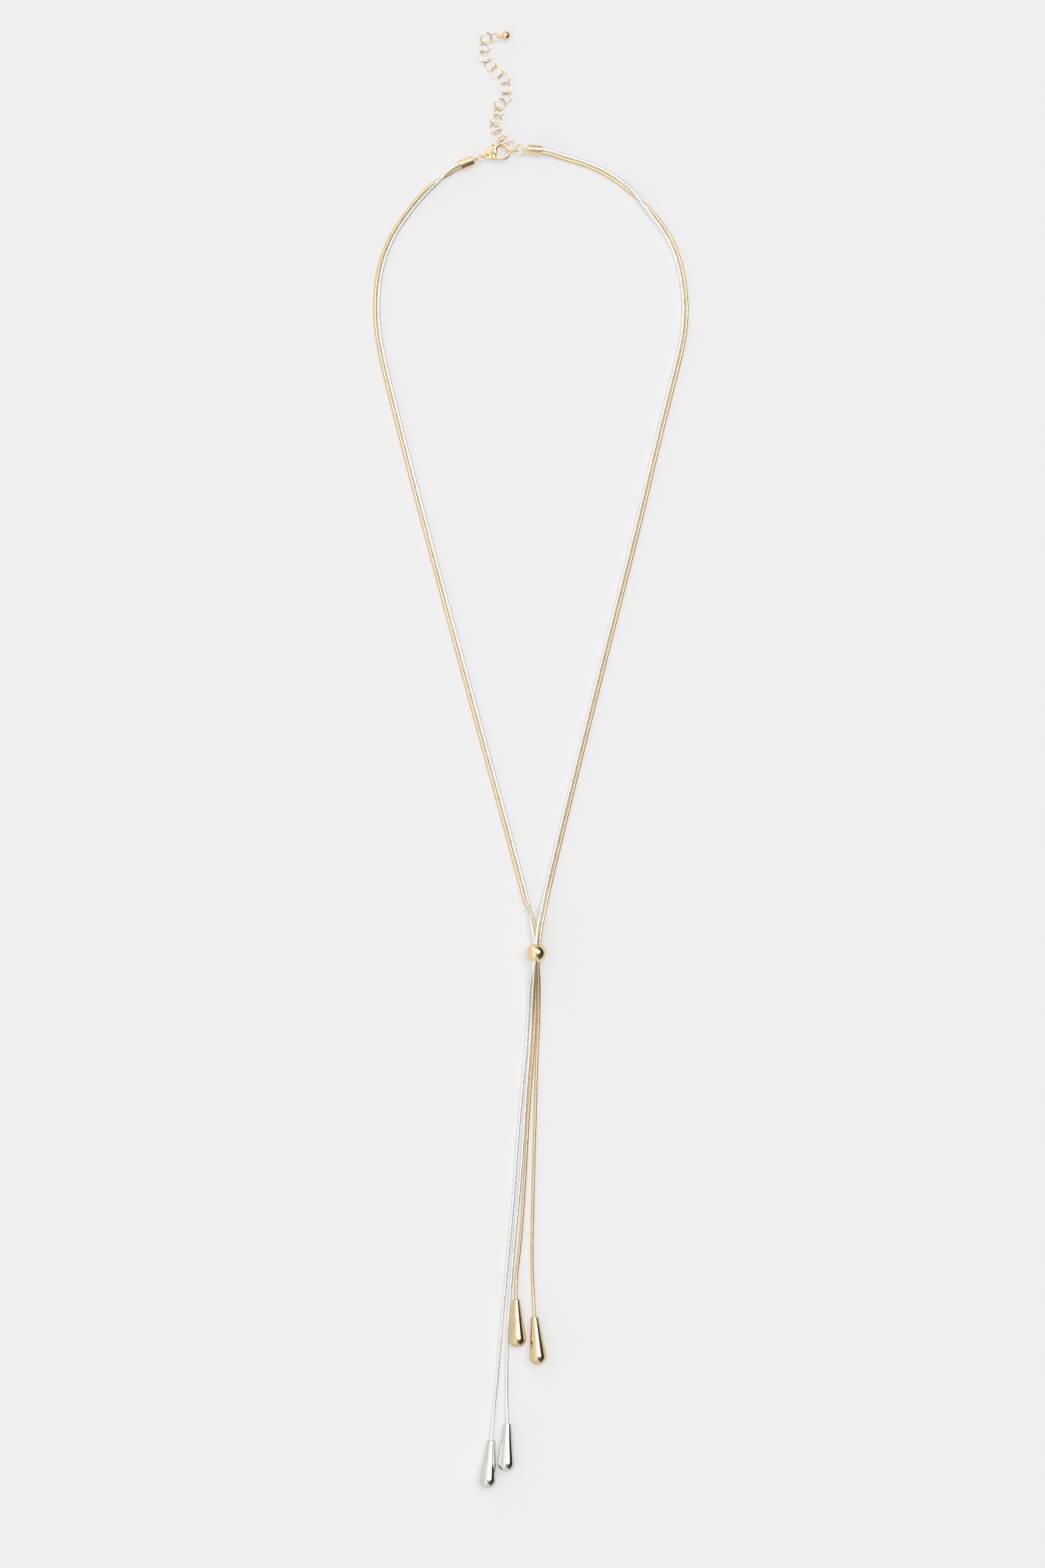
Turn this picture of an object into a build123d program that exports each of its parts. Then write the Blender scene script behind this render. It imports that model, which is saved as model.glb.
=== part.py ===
"""Lariat necklace of round snake chain, lying flat as it is laid out on a table.

Millimetres. Z is up and the table is at z = 0. Y runs along the necklace, from the four drops to the
end of the extension chain. The origin is under the middle of the whole necklace.
"""

from build123d import *
from math import asin, atan2, cos, degrees, hypot, pi, radians, sin, tan
import os

os.makedirs("parts", exist_ok=True)

# Snake chain
CHAIN_D = 1.4
CHAIN_R = CHAIN_D / 2
PAIR_GAP = 1.54
LONGEST_ARC_SHARE = 0.45

# Slider bead
BEAD_D = 8.7
BEAD_HOLE_D = 3.9
BEAD_CENTRE = (2.32, -83.5)
BEAD_LEAN = 4.0
BEAD_RIM = 0.3

# Drops, drawn from a ball and a cone that is tangent to it
DROP_LENGTH = 20.9
DROP_BALL_R = 3.75
DROP_NECK_R = 1.65
DROP_SHOULDER = 0.6
DROP_HOLE_D = 1.8
DROP_HOLE_DEPTH = 2.4
DROP_CHAIN_DEPTH = 1.8

# End caps
CAP_D = 4.5
CAP_LENGTH = 6.2
CAP_BORE_D = 3.6
CAP_BORE_DEPTH = 4.6
CAP_CHAIN_DEPTH = 3.6
CAP_EDGE = 0.35
CAP_Z = CAP_D / 2
CAP_EYE_R = 1.15
CAP_EYE_WIRE = 0.6

# Rings and links, by their mean radius and wire
WIRE_D = 0.5
LINK_R = 2.5
SMALL_RING_R = 1.5
RIGHT_RING_R = 2.25
END_RING_R = 1.9
END_BALL_D = 3.9
END_EYE_R = 1.05

# Mouths of the two caps: x, y, and the way that the chains leave, in degrees from +X
LEFT_MOUTH = (-30.83, 258.5, 202.8)
RIGHT_MOUTH = (4.7, 265.1, -4.0)

# Middle line of each pair of chains round the neck, from the cap towards the bead.
# silver_side is the silver chain's place across the pair: +1 on the outer side, -1 on the inner.
# Columns: x, y, silver_side, silver_z, gold_z
LEFT_PAIR = [
    (-32.0, 258.0, 1.0, 2.3, 2.05),
    (-36.3, 255.2, 0.9, 2.35, 0.8),
    (-41.4, 251.3, -0.9, 2.2, 0.7),
    (-46.3, 247.0, -1.0, 1.0, 0.7),
    (-53.2, 238.8, -1.0, 0.7, 0.7),
    (-60.4, 228.4, -1.0, 0.7, 0.7),
    (-65.4, 216.0, -1.0, 0.7, 0.7),
    (-67.3, 202.5, -1.0, 0.7, 0.7),
    (-67.1, 188.6, -1.0, 0.7, 0.7),
    (-64.4, 173.6, -1.0, 0.7, 0.7),
    (-58.6, 150.3, -1.0, 0.7, 0.7),
    (-48.3, 110.5, -1.0, 0.7, 0.7),
    (-34.2, 57.5, -1.0, 0.7, 0.7),
    (-19.5, 3.5, -1.0, 0.7, 0.7),
    (-11.4, -26.0, -1.0, 0.7, 0.7),
    (-6.6, -44.0, -1.0, 0.7, 0.75),
]
RIGHT_PAIR = [
    (6.3, 264.95, 1.0, 2.4, 2.0),
    (12.6, 262.85, 1.0, 1.6, 0.95),
    (22.8, 260.0, 1.0, 0.75, 0.7),
    (30.4, 256.9, 1.0, 0.7, 0.7),
    (37.6, 252.5, 1.0, 0.8, 0.7),
    (43.7, 247.5, 0.9, 2.25, 0.7),
    (51.1, 239.5, -0.9, 2.25, 0.7),
    (57.2, 232.2, -1.0, 0.8, 0.7),
    (63.0, 221.6, -1.0, 0.7, 0.7),
    (66.3, 208.3, -1.0, 0.7, 0.7),
    (67.3, 194.2, -1.0, 0.7, 0.7),
    (65.6, 180.4, -1.0, 0.7, 0.7),
    (61.2, 163.2, -1.0, 0.7, 0.7),
    (54.5, 136.5, -1.0, 0.7, 0.7),
    (46.2, 101.0, -1.0, 0.7, 0.7),
    (32.15, 46.0, -1.0, 0.7, 0.7),
    (18.2, -10.0, -1.0, 0.7, 0.7),
    (11.4, -38.0, -1.0, 0.7, 0.75),
]

# The four chains where they gather, pass through the bead and lie side by side below it.
# Columns: 0 is y, and 1 to 4 are x and z of silver_left, silver_right, gold_left and gold_right
FOUR_CHAINS = [
    (-54.5, (-2.95, 0.75), (6.65, 0.9), (-4.6, 1.1), (8.25, 0.85)),
    (-62.0, (-1.2, 1.1), (4.95, 2.05), (-2.3, 2.6), (6.6, 1.7)),
    (-67.5, (-0.5, 1.9), (3.7, 3.55), (0.6, 3.5), (5.5, 2.85)),
    (-73.0, (0.4, 3.15), (2.6, 4.95), (2.1, 2.85), (4.35, 3.9)),
    (-78.5, (1.68, 3.99), (2.32, 5.35), (3.04, 3.35), (3.68, 4.71)),
    (-88.9, (0.96, 3.99), (1.6, 5.35), (2.32, 3.35), (2.96, 4.71)),
    (-95.5, (-0.25, 2.85), (1.15, 3.75), (2.1, 2.4), (3.5, 3.25)),
    (-104.0, (-0.9, 1.4), (0.6, 1.95), (1.9, 1.1), (3.45, 1.5)),
    (-114.0, (-1.5, 0.7), (0.1, 0.85), (1.7, 0.7), (3.3, 0.7)),
    (-127.0, (-2.4, 0.7), (-0.75, 0.7), (0.85, 0.7), (2.55, 0.7)),
    (-143.0, (-4.0, 0.7), (-2.1, 0.7), (-0.5, 0.7), (2.05, 0.7)),
    (-163.0, (-5.75, 0.7), (-3.35, 0.7), (-1.75, 0.7), (1.5, 0.7)),
    (-184.0, (-7.2, 0.7), (-4.85, 0.7), (-2.85, 0.7), (0.9, 0.7)),
    (-205.0, (-9.05, 0.7), (-6.95, 0.7), (-4.3, 0.7), (0.45, 0.7)),
]

# Each chain is two pieces. They meet half-way along the run that crosses this y, below the neck's arc.
CHAIN_SPLIT_Y = 155.0

# Each chain's own last stretch on the table, and its drop.
# tail: x, y of each point. drop_neck: x, y of the drop's narrow end. lean: degrees from -Y towards +X
ENDS = {
    "silver_left": {
        "tail": [(-11.3, -228.0), (-13.3, -250.0), (-14.85, -269.0), (-16.6, -285.5)],
        "drop_neck": (-17.3, -295.3),
        "lean": -5.0,
    },
    "silver_right": {
        "tail": [(-8.9, -228.0), (-10.45, -250.0), (-10.6, -267.0), (-10.8, -279.5)],
        "drop_neck": (-10.3, -288.1),
        "lean": -1.8,
    },
    "gold_left": {
        "tail": [(-5.5, -217.0), (-6.7, -226.0)],
        "drop_neck": (-6.55, -234.1),
        "lean": 2.1,
    },
    "gold_right": {
        "tail": [(0.3, -219.0), (0.85, -232.5)],
        "drop_neck": (1.54, -241.7),
        "lean": 4.7,
    },
}

# Extension chain, from the ball end to the clasp: x, y of each link's centre.
# Each link leans to one side of the chain's line by LINK_ROLL, and its neighbours lean to the other.
LINKS = [
    (-19.48, 313.72),
    (-20.0, 310.0),
    (-20.1, 305.9),
    (-17.8, 302.4),
    (-14.8, 299.4),
    (-11.9, 296.3),
    (-11.0, 292.2),
    (-10.7, 288.3),
    (-13.5, 285.2),
    (-14.3, 281.7),
    (-15.2, 278.25),
    (-15.5, 274.95),
    (-13.8, 271.6),
]
LINK_ROLL = 26.0
FLOOR_GAP = 0.02

# The last three links, which the clasp lies over: x, y, z, heading, roll in degrees
CLASP_LINKS = [
    (-11.8, 269.3, 0.96, 90.0, -16.0),
    (-9.4, 267.0, 0.79, -90.0, 12.0),
    (-8.0, 264.95, 2.76, -4.0, 90.0),
]

# Other rings: x, y, z, heading, roll in degrees
END_RING = (-15.95, 314.43, 1.05, 204.4, 20.3)
END_EYE = (-13.73, 314.69, 1.464, 8.6, 90.0)
LEFT_RING_1 = (-22.52, 262.01, 2.3, 28.8, -17.5)
LEFT_RING_2 = (-20.35, 262.66, 2.42, 20.2, 87.7)
RIGHT_RING = (-4.7, 265.4, 2.05, 86.0, -2.5)
END_BALL = (-11.0, 315.1)

# Lobster clasp, drawn in its own frame: x from the tail eye to the hook, y to the thumb side
CLASP_ORIGIN = (-19.14, 262.9, 2.5)
CLASP_HEADING = 12.6
CLASP_HALF_LENS = [(-1.5, 0.6), (3.5, 1.2), (10.8, 0.6)]
TAIL_R = 1.3
TAIL_HOLE_R = 0.7
ROOT_CENTRE = (2.3, 0.35)
ROOT_R = 2.6
HOOK_CENTRE = (6.6, 0.25)
HOOK_R = 3.8
OPENING_CENTRE = (7.0, 0.35)
OPENING_R = 2.5
CLASP_ROUNDING = 0.5
OPENING_ROUNDING = 0.4
CUT_START_ANGLE = -100.0

# The lever turns on a pin that crosses the slot of the clasp's body
PIVOT = (2.92, 1.07)
PIN_R = 0.4
PIN_HOLE_R = 0.5
SLOT_X = (1.2, 4.85)
SLOT_THICKNESS = 1.2
LEVER_THICKNESS = 1.0
GATE_THICKNESS = 1.8
PAD_THICKNESS = 1.5
GATE_START_R = 2.6
GATE_CLEARANCE = 0.15
LEVER_ROUNDING = 0.2
PAD_START_Y = 3.75
GATE_TIP_R = 5.45
SEAM_R = 5.57
SEAM_ANGLE = -50.0
GATE_CUT_Y = -0.6
GATE_CUT_X = 3.6
LEVER_BACK = [
    (2.6, -2.0),
    (1.7, -1.0),
    (1.55, 0.9),
    (2.2, 2.3),
    (3.1, 4.45),
    (4.2, 4.45),
    (4.5, 2.3),
    (4.62, 1.2),
    (4.45, -1.4),
]
GATE_INNER_ANGLE = -38.3
GATE_OUTER_ANGLE = -56.5
GATE_SIDE_ANGLE = -126.0
GATE_SIDE_INSET = 0.1

# An edge belongs to the opening's wall if this share of the way along it is that close to the wall
EDGE_SHARE = 0.3
WALL_SLACK = 0.01


# Routes of the chains

def pair_chain(rows, mouth, silver, outer_sign):
    """Points of one chain of a pair, from inside its cap, set off sideways from the middle line."""
    x, y, angle = mouth
    way_out = Vector(cos(radians(angle)), sin(radians(angle)))
    start = Vector(x, y) - way_out * CAP_CHAIN_DEPTH
    middles = [start] + [Vector(row[0], row[1]) for row in rows]
    sides = [rows[0][2]] + [row[2] for row in rows]
    heights = [CAP_Z] + [row[3] if silver else row[4] for row in rows]
    points = []
    for i, middle in enumerate(middles):
        if i == 0:
            along = way_out
        elif i == len(middles) - 1:
            along = (middle - middles[i - 1]).normalized()
        else:
            before = (middle - middles[i - 1]).normalized()
            after = (middles[i + 1] - middle).normalized()
            along = (before + after).normalized()
        outward = Vector(along.Y, -along.X) * outer_sign
        shift = sides[i] * PAIR_GAP / 2 * (1 if silver else -1)
        place = middle + outward * shift
        points.append(Vector(place.X, place.Y, heights[i]))
    return points


def drop_tilt():
    """Angle between the table and the axis of a drop that lies on its cone's side, in radians."""
    ball_distance = DROP_LENGTH - DROP_BALL_R
    reach = hypot(ball_distance, DROP_NECK_R)
    return asin(DROP_BALL_R / reach) - atan2(DROP_NECK_R, ball_distance)


def drop_plane(end):
    """Plane at a drop's narrow end, with its normal along the drop's axis to the fat end."""
    tilt = drop_tilt()
    lean = radians(end["lean"])
    axis = Vector(sin(lean) * cos(tilt), -cos(lean) * cos(tilt), sin(tilt))
    x, y = end["drop_neck"]
    return Plane(origin=(x, y, DROP_NECK_R * cos(tilt)), z_dir=axis)


def chain_route(name, column, rows, mouth, outer_sign):
    """All the points of one chain, from inside its cap to inside its drop."""
    points = pair_chain(rows, mouth, name.startswith("silver"), outer_sign)
    for row in FOUR_CHAINS:
        x, z = row[column]
        points.append(Vector(x, row[0], z))
    end = ENDS[name]
    for x, y in end["tail"]:
        points.append(Vector(x, y, CHAIN_R))
    neck = drop_plane(end)
    half_way = neck.origin + neck.z_dir * DROP_CHAIN_DEPTH / 2
    last_way = (half_way - points[-1]).normalized()
    points.append(half_way + last_way * DROP_CHAIN_DEPTH / 2)
    return points


def arc_radii(points):
    """Radius of the arc at each inner point, as large as the shorter of its two runs allows."""
    radii = []
    for before, point, after in zip(points, points[1:], points[2:]):
        turn = radians((point - before).get_angle(after - point))
        shorter = min((point - before).length, (after - point).length)
        radii.append(LONGEST_ARC_SHARE * shorter / tan(turn / 2))
    return radii


# Makers of the pieces

def save(builder, name):
    builder.part.label = name
    export_step(builder.part, f"parts/{name}.step")
    print(f"{name}: {builder.part.volume:.2f} mm3")


def make_chain(name, points):
    """A tube of straight runs joined by tangent arcs."""
    radii = arc_radii(points)
    with BuildPart() as chain:
        with BuildLine() as path:
            FilletPolyline(*points, radius=radii)
        with BuildSketch(Plane(origin=points[0], z_dir=points[1] - points[0])):
            Circle(CHAIN_R)
        sweep()
    length = sum(edge.length for edge in path.edges())
    section = pi * CHAIN_R**2
    print(f"{name}: length {length:.1f}, volume over section x length "
          f"{chain.part.volume / (section * length):.4f}")
    print("  radii " + ", ".join(f"{radius:.0f}" for radius in radii))
    save(chain, name)


def lean_normal(heading, roll):
    """Upward normal of a flat ring after a roll about its heading, both in degrees."""
    sideways = Vector(sin(radians(heading)), -cos(radians(heading)), 0)
    return sideways * sin(radians(roll)) + Vector(0, 0, 1) * cos(radians(roll))


def ring_profile(centre, normal, mean_r, wire_d):
    """Sketch of the wire's section, on a plane through the ring's axis."""
    flat = Plane(origin=centre, z_dir=normal)
    with BuildSketch(Plane(origin=centre, x_dir=flat.x_dir, z_dir=flat.y_dir)) as profile:
        with Locations((mean_r, 0)):
            Circle(wire_d / 2)
    return profile.sketch


def make_ring(name, centre, normal, mean_r, wire_d):
    with BuildPart() as ring:
        add(ring_profile(centre, normal, mean_r, wire_d))
        revolve(axis=Axis(centre, normal))
    save(ring, name)


def make_drop(name, end):
    neck = drop_plane(end)
    tilt = drop_tilt()
    ball_z = DROP_LENGTH - DROP_BALL_R
    touch = (DROP_BALL_R * cos(tilt), ball_z - DROP_BALL_R * sin(tilt))
    far_arc = (DROP_BALL_R * cos(radians(45)), ball_z + DROP_BALL_R * sin(radians(45)))
    side = Plane(origin=neck.origin, x_dir=neck.x_dir, z_dir=-neck.y_dir)
    with BuildPart() as drop:
        with BuildSketch(side):
            with BuildLine():
                Line((0, 0), (DROP_NECK_R, 0))
                Line((DROP_NECK_R, 0), touch)
                ThreePointArc(touch, far_arc, (0, DROP_LENGTH))
                Line((0, DROP_LENGTH), (0, 0))
            make_face()
        revolve(axis=Axis(neck.origin, neck.z_dir))
        shoulder = drop.edges().filter_by(GeomType.CIRCLE).sort_by(Axis(neck.origin, neck.z_dir))[0]
        fillet(shoulder, DROP_SHOULDER)
        with BuildSketch(neck):
            Circle(DROP_HOLE_D / 2)
        extrude(amount=DROP_HOLE_DEPTH, mode=Mode.SUBTRACT)
    save(drop, name)


def make_cap(name, mouth):
    x, y, angle = mouth
    inward = Vector(-cos(radians(angle)), -sin(radians(angle)), 0)
    open_end = Plane(origin=(x, y, CAP_Z), z_dir=inward)
    eye_centre = open_end.origin + inward * (CAP_LENGTH + CAP_EYE_R - CAP_EYE_WIRE / 2)
    eye_normal = Vector(-inward.Y, inward.X, 0)
    with BuildPart() as cap:
        with BuildSketch(open_end):
            Circle(CAP_D / 2)
        extrude(amount=CAP_LENGTH)
        closed_edge = cap.edges().filter_by(GeomType.CIRCLE).sort_by(Axis(open_end.origin, inward))[-1]
        fillet(closed_edge, CAP_EDGE)
        with BuildSketch(open_end):
            Circle(CAP_BORE_D / 2)
        extrude(amount=CAP_BORE_DEPTH, mode=Mode.SUBTRACT)
        add(ring_profile(eye_centre, eye_normal, CAP_EYE_R, CAP_EYE_WIRE))
        revolve(axis=Axis(eye_centre, eye_normal))
    save(cap, name)


def make_bead():
    x, y = BEAD_CENTRE
    centre = Vector(x, y, BEAD_D / 2)
    along = Vector(sin(radians(BEAD_LEAN)), cos(radians(BEAD_LEAN)), 0)
    with BuildPart() as bead:
        with BuildSketch(Plane(origin=centre, x_dir=along, z_dir=(0, 0, 1))):
            with BuildLine():
                Line((-BEAD_D / 2, 0), (BEAD_D / 2, 0))
                ThreePointArc((BEAD_D / 2, 0), (0, BEAD_D / 2), (-BEAD_D / 2, 0))
            make_face()
        revolve(axis=Axis(centre, along))
        with BuildSketch(Plane(origin=centre, z_dir=along)):
            Circle(BEAD_HOLE_D / 2)
        extrude(amount=BEAD_D, both=True, mode=Mode.SUBTRACT)
        fillet(bead.edges().filter_by(GeomType.CIRCLE), BEAD_RIM)
    save(bead, "slider_bead")


def make_end_ball():
    x, y = END_BALL
    eye = Vector(END_EYE[0], END_EYE[1], END_EYE[2])
    normal = lean_normal(END_EYE[3], END_EYE[4])
    with BuildPart() as ball:
        with Locations((x, y, END_BALL_D / 2)):
            Sphere(END_BALL_D / 2)
        add(ring_profile(eye, normal, END_EYE_R, WIRE_D))
        revolve(axis=Axis(eye, normal))
    save(ball, "end_ball")


# Lobster clasp

clasp_plane = Plane(
    origin=CLASP_ORIGIN,
    x_dir=(cos(radians(CLASP_HEADING)), sin(radians(CLASP_HEADING)), 0),
    z_dir=(0, 0, 1),
)
clasp_side = Plane(origin=CLASP_ORIGIN, x_dir=clasp_plane.x_dir, z_dir=-clasp_plane.y_dir)


def about_pivot(radius, angle):
    """Point of the clasp's own frame at a distance and an angle from the lever's pivot."""
    return (PIVOT[0] + radius * cos(radians(angle)), PIVOT[1] + radius * sin(radians(angle)))


def on_hook(angle, inset=0.0):
    """Point on the outer circle of the hook, at an angle about its centre."""
    radius = HOOK_R - inset
    return (HOOK_CENTRE[0] + radius * cos(radians(angle)), HOOK_CENTRE[1] + radius * sin(radians(angle)))


def on_opening(edge):
    """Whether an edge lies on the wall of the hook's opening."""
    place = clasp_plane.to_local_coords(edge @ EDGE_SHARE)
    from_centre = hypot(place.X - OPENING_CENTRE[0], place.Y - OPENING_CENTRE[1])
    return abs(from_centre - OPENING_R) < WALL_SLACK


def make_clasp_body():
    top = CLASP_HALF_LENS
    bottom = [(x, -z) for x, z in reversed(CLASP_HALF_LENS)]
    reach = 2 * HOOK_R
    with BuildPart() as body:
        with BuildSketch(clasp_plane):
            Circle(TAIL_R)
            with Locations(ROOT_CENTRE):
                Circle(ROOT_R)
            with Locations(HOOK_CENTRE):
                Circle(HOOK_R)
            make_hull()
        extrude(amount=HOOK_R, both=True)
        with BuildSketch(clasp_side):
            with BuildLine():
                ThreePointArc(*top)
                Line(top[-1], bottom[0])
                ThreePointArc(*bottom)
                Line(bottom[-1], top[0])
            make_face()
        extrude(amount=reach, both=True, mode=Mode.INTERSECT)
        fillet(body.edges().filter_by(Axis.Z, reverse=True), CLASP_ROUNDING)
        with BuildSketch(clasp_plane):
            with Locations(OPENING_CENTRE):
                Circle(OPENING_R)
        extrude(amount=HOOK_R, both=True, mode=Mode.SUBTRACT)
        fillet(body.edges().filter_by(Axis.Z, reverse=True).filter_by(on_opening), OPENING_ROUNDING)
        with BuildSketch(clasp_plane):
            Circle(TAIL_HOLE_R)
        extrude(amount=HOOK_R, both=True, mode=Mode.SUBTRACT)
        with BuildSketch(clasp_plane):
            with BuildLine():
                Line(PIVOT, about_pivot(reach, CUT_START_ANGLE))
                Line(about_pivot(reach, CUT_START_ANGLE), about_pivot(reach, SEAM_ANGLE))
                Line(about_pivot(reach, SEAM_ANGLE), about_pivot(SEAM_R, SEAM_ANGLE))
                ThreePointArc(
                    about_pivot(SEAM_R, SEAM_ANGLE),
                    about_pivot(SEAM_R, SEAM_ANGLE / 2),
                    about_pivot(SEAM_R, 0.0),
                )
                Line(about_pivot(SEAM_R, 0.0), PIVOT)
            make_face()
            with Locations((GATE_CUT_X + reach / 2, GATE_CUT_Y - reach / 2)):
                Rectangle(reach, reach, mode=Mode.INTERSECT)
        extrude(amount=HOOK_R, both=True, mode=Mode.SUBTRACT)
        with BuildSketch(clasp_plane):
            with Locations(((SLOT_X[0] + SLOT_X[1]) / 2, 0)):
                Rectangle(SLOT_X[1] - SLOT_X[0], 2 * reach)
        extrude(amount=SLOT_THICKNESS / 2, both=True, mode=Mode.SUBTRACT)
        with BuildSketch(clasp_plane):
            with Locations(PIVOT):
                Circle(PIN_R)
        extrude(amount=SLOT_THICKNESS, both=True)
    save(body, "clasp_body")


def lever_outline():
    inner_tip = about_pivot(GATE_TIP_R, GATE_INNER_ANGLE)
    outer_tip = about_pivot(GATE_TIP_R, GATE_OUTER_ANGLE)
    middle_tip = about_pivot(GATE_TIP_R, (GATE_INNER_ANGLE + GATE_OUTER_ANGLE) / 2)
    gate_side = on_hook(GATE_SIDE_ANGLE, GATE_SIDE_INSET)
    with BuildSketch(clasp_plane) as outline:
        with BuildLine():
            ThreePointArc(inner_tip, middle_tip, outer_tip)
            Line(outer_tip, gate_side)
            Line(gate_side, LEVER_BACK[0])
            Polyline(*LEVER_BACK)
            Line(LEVER_BACK[-1], inner_tip)
        make_face()
        fillet(outline.vertices(), LEVER_ROUNDING)
    return outline


def make_clasp_lever():
    reach = 2 * HOOK_R
    with BuildPart() as lever:
        add(lever_outline().sketch)
        extrude(amount=LEVER_THICKNESS / 2, both=True)
        with BuildSketch(clasp_plane):
            add(lever_outline().sketch_local)
            with Locations((GATE_CUT_X + GATE_CLEARANCE + reach / 2, GATE_CUT_Y - reach / 2)):
                Rectangle(reach, reach, mode=Mode.INTERSECT)
            with Locations(PIVOT):
                Circle(GATE_START_R, mode=Mode.SUBTRACT)
        extrude(amount=GATE_THICKNESS / 2, both=True)
        with BuildSketch(clasp_plane):
            add(lever_outline().sketch_local)
            with Locations((PIVOT[0], PAD_START_Y + reach / 2)):
                Rectangle(reach, reach, mode=Mode.INTERSECT)
        extrude(amount=PAD_THICKNESS / 2, both=True)
        with BuildSketch(clasp_plane):
            with Locations(PIVOT):
                Circle(PIN_HOLE_R)
        extrude(amount=HOOK_R, both=True, mode=Mode.SUBTRACT)
    save(lever, "clasp_lever")


# The pieces

# Columns: its column in FOUR_CHAINS, its pair's rows, its cap, and the outer side of its pair
CHAINS = {
    "silver_left": (1, LEFT_PAIR, LEFT_MOUTH, 1),
    "silver_right": (2, RIGHT_PAIR, RIGHT_MOUTH, -1),
    "gold_left": (3, LEFT_PAIR, LEFT_MOUTH, 1),
    "gold_right": (4, RIGHT_PAIR, RIGHT_MOUTH, -1),
}
for chain_name, (column, rows, mouth, outer_sign) in CHAINS.items():
    route = chain_route(chain_name, column, rows, mouth, outer_sign)
    upper_count = sum(point.Y > CHAIN_SPLIT_Y for point in route)
    split = (route[upper_count - 1] + route[upper_count]) / 2
    make_chain(f"upper_chain_{chain_name}", route[:upper_count] + [split])
    make_chain(f"lower_chain_{chain_name}", [split] + route[upper_count:])
    make_drop(f"drop_{chain_name}", ENDS[chain_name])

make_bead()
make_cap("end_cap_left", LEFT_MOUTH)
make_cap("end_cap_right", RIGHT_MOUTH)

link_places = [END_RING[:2]] + LINKS + [CLASP_LINKS[0][:2]]
link_z = LINK_R * sin(radians(LINK_ROLL)) + WIRE_D / 2 + FLOOR_GAP
for i in range(1, len(LINKS) + 1):
    before = link_places[i - 1]
    x, y = link_places[i]
    after = link_places[i + 1]
    heading = degrees(atan2(after[1] - before[1], after[0] - before[0]))
    roll = LINK_ROLL if i % 2 == 0 else -LINK_ROLL
    make_ring(f"extension_link_{i:02d}", (x, y, link_z), lean_normal(heading, roll), LINK_R, WIRE_D)

PLACED_RINGS = {
    "extension_link_14": (CLASP_LINKS[0], LINK_R),
    "extension_link_15": (CLASP_LINKS[1], LINK_R),
    "extension_link_16": (CLASP_LINKS[2], LINK_R),
    "end_jump_ring": (END_RING, END_RING_R),
    "jump_ring_left_1": (LEFT_RING_1, SMALL_RING_R),
    "jump_ring_left_2": (LEFT_RING_2, SMALL_RING_R),
    "jump_ring_right": (RIGHT_RING, RIGHT_RING_R),
}
for ring_name, ((x, y, z, heading, roll), mean_r) in PLACED_RINGS.items():
    make_ring(ring_name, (x, y, z), lean_normal(heading, roll), mean_r, WIRE_D)

make_end_ball()
make_clasp_body()
make_clasp_lever()
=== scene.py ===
"""Lariat necklace: plates of its snake chains, finish of every piece, light and camera.

Metres, in the frame of the model. Z is up and the table is at z = 0. Y runs along the necklace,
from the four drops to the end of the extension chain. Tables of sizes are in millimetres.
"""

from math import asin, atan2, cos, degrees, hypot, pi, radians, sin, sqrt

import bpy
import numpy as np
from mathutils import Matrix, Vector
from mathutils.kdtree import KDTree


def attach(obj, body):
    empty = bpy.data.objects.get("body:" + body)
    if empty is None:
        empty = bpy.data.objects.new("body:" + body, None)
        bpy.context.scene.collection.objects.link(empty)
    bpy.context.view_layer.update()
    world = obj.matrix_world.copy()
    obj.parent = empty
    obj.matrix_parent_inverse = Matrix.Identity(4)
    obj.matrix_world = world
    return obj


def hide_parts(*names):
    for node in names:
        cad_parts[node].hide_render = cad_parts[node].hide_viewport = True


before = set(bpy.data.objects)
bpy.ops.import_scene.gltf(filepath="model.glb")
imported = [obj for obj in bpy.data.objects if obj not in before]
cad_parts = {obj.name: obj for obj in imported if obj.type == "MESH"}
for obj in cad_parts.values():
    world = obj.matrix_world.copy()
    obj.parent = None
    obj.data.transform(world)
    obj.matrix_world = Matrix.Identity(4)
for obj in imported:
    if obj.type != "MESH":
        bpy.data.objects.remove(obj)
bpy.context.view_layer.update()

MM = 0.001

# Snake chain, and how far apart the two of a pair are
CHAIN_D = 1.4
CHAIN_R = CHAIN_D / 2
PAIR_GAP = 1.54

# Slider bead
BEAD_D = 8.7
BEAD_HOLE_D = 3.9
BEAD_CENTRE = (2.32, -83.5)
BEAD_LEAN = 4.0
BEAD_RIM = 0.3

# Drops, drawn from a ball and a cone that is tangent to it
DROP_LENGTH = 20.9
DROP_BALL_R = 3.75
DROP_NECK_R = 1.65
DROP_SHOULDER = 0.6
DROP_HOLE_D = 1.8
DROP_HOLE_DEPTH = 2.4
DROP_CHAIN_DEPTH = 1.8

# End caps
CAP_D = 4.5
CAP_LENGTH = 6.2
CAP_BORE_D = 3.6
CAP_BORE_DEPTH = 4.6
CAP_CHAIN_DEPTH = 3.6
CAP_EDGE = 0.35
CAP_Z = CAP_D / 2
CAP_EYE_R = 1.15
CAP_EYE_WIRE = 0.6

# Rings and links, by their mean radius and wire
WIRE_D = 0.5
LINK_R = 2.5
SMALL_RING_R = 1.5
RIGHT_RING_R = 2.25
END_RING_R = 1.9
END_BALL_D = 3.9
END_EYE_R = 1.05

# Mouths of the two caps: x, y, and the way that the chains leave, in degrees from +X
LEFT_MOUTH = (-30.83, 258.5, 202.8)
RIGHT_MOUTH = (4.7, 265.1, -4.0)

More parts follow.
